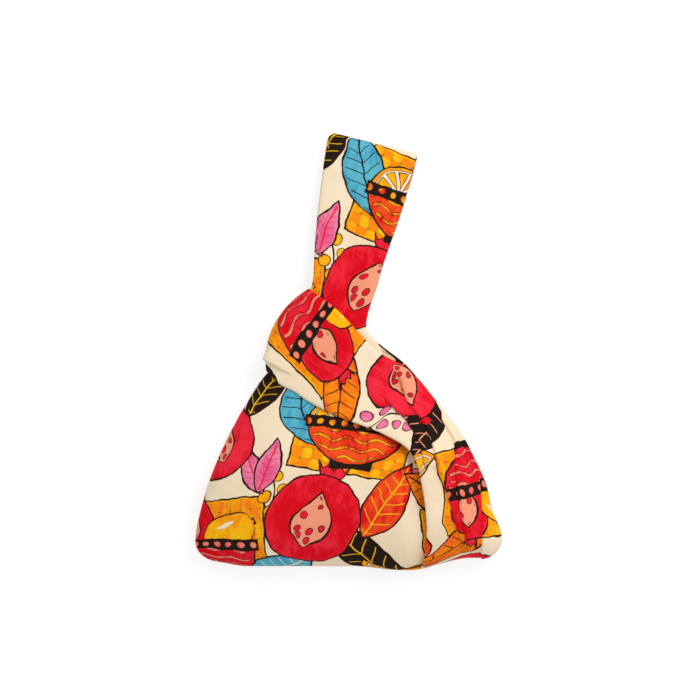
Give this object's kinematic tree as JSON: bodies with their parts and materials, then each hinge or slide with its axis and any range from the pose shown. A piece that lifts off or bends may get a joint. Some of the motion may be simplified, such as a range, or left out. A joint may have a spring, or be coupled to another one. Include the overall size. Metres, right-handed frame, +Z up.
{
  "type": "japanese knot bag",
  "caption": "Small printed cloth knot bag lying on its back, its long handle drawn through the loop of its short handle; holds small things and hangs from the wrist.",
  "frame": {"origin": "on the table, under the middle of the bag's bounding box", "axes": "+X across the bag to the right, +Y from the bottom seam to the end of the long handle, +Z up from the table"},
  "size_m": [0.2608, 0.3738, 0.0446],
  "materials": {
    "printed_canvas": "matt",
    "lining_cotton": "matt"
  },
  "bodies": {
    "bag": {"front_body_outer": "printed_canvas", "front_body_lining": "lining_cotton", "back_body_outer": "printed_canvas", "back_body_lining": "lining_cotton", "front_long_handle_root_outer": "printed_canvas", "front_long_handle_root_lining": "lining_cotton", "back_long_handle_root_outer": "printed_canvas", "back_long_handle_root_lining": "lining_cotton", "front_short_handle_root_outer": "printed_canvas", "front_short_handle_root_lining": "lining_cotton", "back_short_handle_root_outer": "printed_canvas", "back_short_handle_root_lining": "lining_cotton"},
    "long_handle": {"front_long_handle_outer": "printed_canvas", "front_long_handle_lining": "lining_cotton", "back_long_handle_outer": "printed_canvas", "back_long_handle_lining": "lining_cotton"},
    "short_loop": {"front_short_handle_loop_outer": "printed_canvas", "front_short_handle_loop_lining": "lining_cotton", "back_short_handle_loop_outer": "printed_canvas", "back_short_handle_loop_lining": "lining_cotton"}
  },
  "joints": [
    {"name": "handle_lift", "type": "hinge", "parent": "bag", "child": "long_handle", "pos_m": [0.0011, 0.08211, 0.015], "axis": [0.9781, -0.2079, 0], "range_deg": [0, 110]},
    {"name": "loop_slide", "type": "slide", "parent": "bag", "child": "short_loop", "axis": [0.1392, 0.9903, 0], "range_m": [0, 0.025]}
  ]
}
